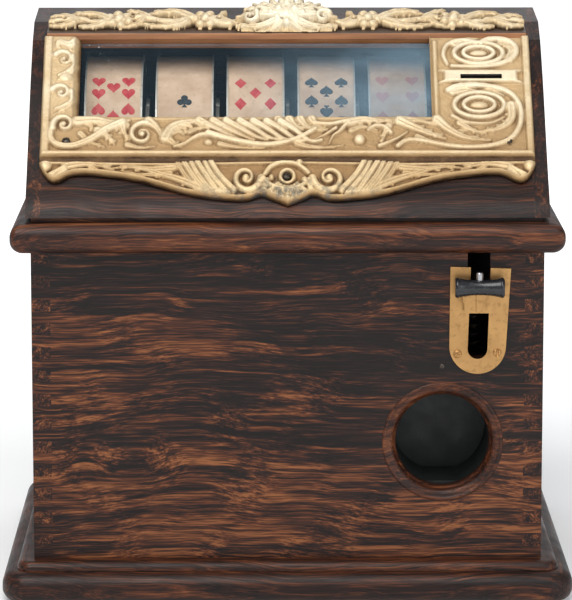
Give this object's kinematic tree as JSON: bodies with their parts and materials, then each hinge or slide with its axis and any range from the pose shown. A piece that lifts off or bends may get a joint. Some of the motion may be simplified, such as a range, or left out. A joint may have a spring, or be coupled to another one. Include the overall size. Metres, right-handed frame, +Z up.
{
  "type": "slot machine",
  "caption": "Countertop card-reel slot machine in a stained oak cabinet with a gilt cast front, push-down start lever, payout cup, rear door and cash drawer.",
  "frame": {"origin": "centre of the base's underside, under the middle of the overall box", "axes": "+Z up, -Y the front with the window, +X the side with the lever and the coin slot"},
  "size_m": [0.305, 0.24, 0.3073],
  "materials": {
    "stained_oak": "satin varnish, worn",
    "rail_wood": "dull varnish",
    "gilt_casting": "gilt, aged",
    "brass": "aged satin",
    "glass": "clear",
    "black_enamel": "worn gloss",
    "japanned_tin": "black japan",
    "steel": "oiled",
    "lever_brass": "worn",
    "plate_steel": "dull black",
    "gear_brass": "satin",
    "reel_tin": "pale, worn",
    "card_stock": "aged, varnished"
  },
  "bodies": {
    "cabinet": {"base_plinth": "stained_oak", "floor_board": "stained_oak", "front_board": "stained_oak", "side_board_left": "stained_oak", "side_board_right": "stained_oak", "waist_moulding": "stained_oak", "recess_frame": "stained_oak", "head_cheek_left": "stained_oak", "head_cheek_right": "stained_oak", "head_front_board": "stained_oak", "top_rail": "rail_wood", "top_board": "stained_oak", "head_back_board": "stained_oak", "rear_rail": "stained_oak", "mechanism_shelf": "rail_wood", "payout_rim": "stained_oak", "payout_cup": "japanned_tin", "cast_front": "gilt_casting", "front_screws": "brass", "window_glass": "glass", "crest_strips": "gilt_casting", "crest_centre": "gilt_casting", "lever_plate": "brass", "lever_plate_screws": "brass", "coin_chute": "japanned_tin", "mechanism_plate_left": "plate_steel", "mechanism_plate_right": "plate_steel", "tie_rods": "steel", "reel_shaft": "steel", "shaft_collars": "steel", "stop_shaft": "steel", "lever_pin": "steel", "gear_arbors": "steel", "hinge_leaves_case": "brass", "lever_spring": "steel"},
    "reel_1": {"reel_1_wheel": "reel_tin", "reel_1_card_strip": "card_stock"},
    "reel_2": {"reel_2_wheel": "reel_tin", "reel_2_card_strip": "card_stock"},
    "reel_3": {"reel_3_wheel": "reel_tin", "reel_3_card_strip": "card_stock"},
    "reel_4": {"reel_4_wheel": "reel_tin", "reel_4_card_strip": "card_stock"},
    "reel_5": {"reel_5_wheel": "reel_tin", "reel_5_card_strip": "card_stock"},
    "stop_1": {"stop_lever_1": "steel"},
    "stop_2": {"stop_lever_2": "steel"},
    "stop_3": {"stop_lever_3": "steel"},
    "stop_4": {"stop_lever_4": "steel"},
    "stop_5": {"stop_lever_5": "steel"},
    "start_lever": {"start_lever": "lever_brass", "thumb_piece": "black_enamel"},
    "timing_gear": {"timing_gear": "gear_brass"},
    "fan": {"governor_fan": "gear_brass"},
    "rear_door": {"rear_door": "stained_oak", "door_lock": "brass", "hinge_leaves_door": "brass"},
    "key": {"lock_key": "brass"},
    "drawer": {"cash_drawer": "rail_wood", "drawer_pull": "rail_wood"}
  },
  "joints": [
    {"name": "reel_1_spin", "type": "hinge", "parent": "cabinet", "child": "reel_1", "pos_m": [-0.09405, 0.00806, 0.22201], "axis": [1, 0, 0], "continuous": true},
    {"name": "reel_2_spin", "type": "hinge", "parent": "cabinet", "child": "reel_2", "pos_m": [-0.0555, 0.00806, 0.22201], "axis": [1, 0, 0], "continuous": true},
    {"name": "reel_3_spin", "type": "hinge", "parent": "cabinet", "child": "reel_3", "pos_m": [-0.01695, 0.00806, 0.22201], "axis": [1, 0, 0], "continuous": true},
    {"name": "reel_4_spin", "type": "hinge", "parent": "cabinet", "child": "reel_4", "pos_m": [0.0216, 0.00806, 0.22201], "axis": [1, 0, 0], "continuous": true},
    {"name": "reel_5_spin", "type": "hinge", "parent": "cabinet", "child": "reel_5", "pos_m": [0.06015, 0.00806, 0.22201], "axis": [1, 0, 0], "continuous": true},
    {"name": "stop_1_lift", "type": "hinge", "parent": "cabinet", "child": "stop_1", "pos_m": [-0.07743, 0.07206, 0.16501], "axis": [1, 0, 0], "range_deg": [-12, 0]},
    {"name": "stop_2_lift", "type": "hinge", "parent": "cabinet", "child": "stop_2", "pos_m": [-0.03888, 0.07206, 0.16501], "axis": [1, 0, 0], "range_deg": [-12, 0]},
    {"name": "stop_3_lift", "type": "hinge", "parent": "cabinet", "child": "stop_3", "pos_m": [-0.00032, 0.07206, 0.16501], "axis": [1, 0, 0], "range_deg": [-12, 0]},
    {"name": "stop_4_lift", "type": "hinge", "parent": "cabinet", "child": "stop_4", "pos_m": [0.03823, 0.07206, 0.16501], "axis": [1, 0, 0], "range_deg": [-12, 0]},
    {"name": "stop_5_lift", "type": "hinge", "parent": "cabinet", "child": "stop_5", "pos_m": [0.07678, 0.07206, 0.16501], "axis": [1, 0, 0], "range_deg": [-12, 0]},
    {"name": "start_lever_press", "type": "hinge", "parent": "cabinet", "child": "start_lever", "pos_m": [0.101, -0.005, 0.156], "axis": [1, 0, 0], "range_deg": [0, 12], "stiffness_Nm_per_rad": 0.25, "springref_deg": -22.92, "deforming": ["lever_spring"]},
    {"name": "timing_gear_spin", "type": "hinge", "parent": "cabinet", "child": "timing_gear", "pos_m": [0.08393, 0.04106, 0.156], "axis": [1, 0, 0], "continuous": true},
    {"name": "fan_spin", "type": "hinge", "parent": "cabinet", "child": "fan", "pos_m": [0.08393, 0.06335, 0.17607], "axis": [1, 0, 0], "continuous": true},
    {"name": "rear_door_swing", "type": "hinge", "parent": "cabinet", "child": "rear_door", "pos_m": [-0.1255, 0.1055, 0.0668], "axis": [0, 0, 1], "range_deg": [0, 110]},
    {"name": "key_turn", "type": "hinge", "parent": "rear_door", "child": "key", "pos_m": [0.0905, 0.103, 0.1262], "axis": [0, 1, 0], "range_deg": [0, 90]},
    {"name": "drawer_slide", "type": "slide", "parent": "cabinet", "child": "drawer", "axis": [0, 1, 0], "range_m": [0, 0.12]}
  ],
  "couplings": [
    {"joint": "fan_spin", "follows": "timing_gear_spin", "ratio": -4}
  ]
}
